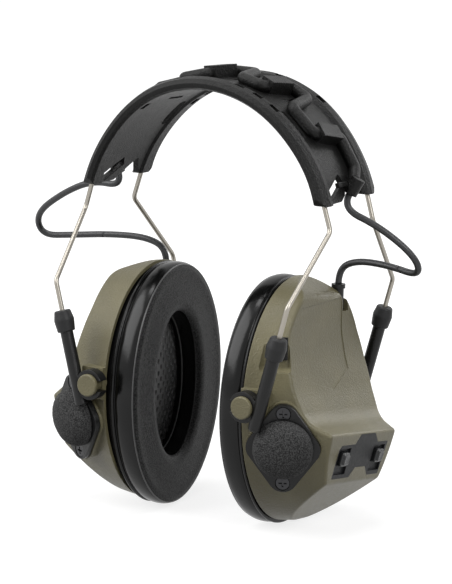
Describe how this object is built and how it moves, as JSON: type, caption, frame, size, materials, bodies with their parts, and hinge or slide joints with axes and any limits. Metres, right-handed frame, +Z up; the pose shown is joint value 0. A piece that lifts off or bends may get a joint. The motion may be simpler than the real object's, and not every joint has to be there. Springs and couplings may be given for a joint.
{
  "type": "electronic ear defender headset",
  "caption": "Over-ear electronic hearing protector: oval cups with cushions, outside microphones, sprung wire headband with sliding arms, and a cord carried over the band.",
  "frame": {"origin": "on the floor plane at the lowest point of the cushions, midway between the cups and on the plane through the cup pivots", "axes": "+X towards the wearer's left cup, -Y towards the wearer's front, +Z up to the headband"},
  "size_m": [0.1853, 0.0982, 0.1864],
  "materials": {
    "band_black": "satin, lightly textured",
    "spring_steel": "drawn stainless wire",
    "cord_grey": "satin cable jacket",
    "arm_black": "satin",
    "cap_rubber": "matt",
    "olive": "fine satin grain",
    "cushion_black": "smooth black vinyl",
    "seal_plate": "satin",
    "liner_foam": "woven mesh over foam",
    "driver": "moulded frame",
    "mic_black": "satin",
    "mic_foam": "open-cell foam",
    "screw_steel": "blackened steel",
    "panel_grey": "satin rubbery plastic",
    "board_green": "solder mask",
    "contact_brass": "plated",
    "cell": "plain sleeve",
    "pin_steel": "drawn"
  },
  "bodies": {
    "headband": {"headband": "band_black", "front_spring_wire": "spring_steel", "rear_spring_wire": "spring_steel", "band_cord": "cord_grey", "left_cord_clip": "band_black", "right_cord_clip": "band_black", "left_cord_loop": "cord_grey", "right_cord_loop": "cord_grey"},
    "left_yoke": {"left_rear_arm": "arm_black", "left_front_arm": "arm_black", "left_rear_arm_cap": "cap_rubber", "left_front_arm_cap": "cap_rubber"},
    "left_cup": {"left_cup_shell": "olive", "left_rear_stud": "olive", "left_front_stud": "olive", "left_cushion": "cushion_black", "left_cushion_plate": "seal_plate", "left_foam_liner": "liner_foam", "left_speaker": "driver", "left_mic_flange": "mic_black", "left_mic_foam": "mic_foam", "left_mic_screws": "screw_steel", "left_mic_capsule": "mic_black", "left_strain_relief": "mic_black", "boom_socket": "mic_black", "button_panel": "panel_grey", "circuit_board": "board_green"},
    "right_yoke": {"right_rear_arm": "arm_black", "right_front_arm": "arm_black", "right_rear_arm_cap": "cap_rubber", "right_front_arm_cap": "cap_rubber"},
    "right_cup": {"right_cup_shell": "olive", "right_rear_stud": "olive", "right_front_stud": "olive", "right_cushion": "cushion_black", "right_cushion_plate": "seal_plate", "right_foam_liner": "liner_foam", "right_speaker": "driver", "right_mic_flange": "mic_black", "right_mic_foam": "mic_foam", "right_mic_screws": "screw_steel", "right_mic_capsule": "mic_black", "right_strain_relief": "mic_black", "lid_hinge_pin": "pin_steel", "batteries": "cell", "battery_tray": "driver", "battery_contacts": "contact_brass"},
    "plus_button": {"plus_button": "panel_grey"},
    "minus_button": {"minus_button": "panel_grey"},
    "battery_lid": {"battery_lid": "olive"}
  },
  "joints": [
    {"name": "left_height", "type": "slide", "parent": "headband", "child": "left_yoke", "axis": [0.2588, 0, 0.9659], "range_m": [-0.018, 0.01], "deforming": ["left_cord_loop"]},
    {"name": "left_tilt", "type": "hinge", "parent": "left_yoke", "child": "left_cup", "pos_m": [0.0361, 0, 0.057], "axis": [0, 1, 0], "range_deg": [-10, 10], "deforming": ["left_cord_loop"]},
    {"name": "right_height", "type": "slide", "parent": "headband", "child": "right_yoke", "axis": [-0.2588, 0, 0.9659], "range_m": [-0.018, 0.01], "deforming": ["right_cord_loop"]},
    {"name": "right_tilt", "type": "hinge", "parent": "right_yoke", "child": "right_cup", "pos_m": [-0.0361, 0, 0.057], "axis": [0, 1, 0], "range_deg": [-10, 10], "deforming": ["right_cord_loop"]},
    {"name": "plus_button_press", "type": "slide", "parent": "left_cup", "child": "plus_button", "axis": [-0.9793, 0.0264, 0.2006], "range_m": [0, 0.0008], "stiffness_N_per_m": 900},
    {"name": "minus_button_press", "type": "slide", "parent": "left_cup", "child": "minus_button", "axis": [-0.9793, 0.0264, 0.2006], "range_m": [0, 0.0008], "stiffness_N_per_m": 900},
    {"name": "battery_lid_hinge", "type": "hinge", "parent": "right_cup", "child": "battery_lid", "pos_m": [-0.06281, -0.00083, 0.02609], "axis": [0, -0.9914, 0.1305], "range_deg": [0, 100]}
  ]
}
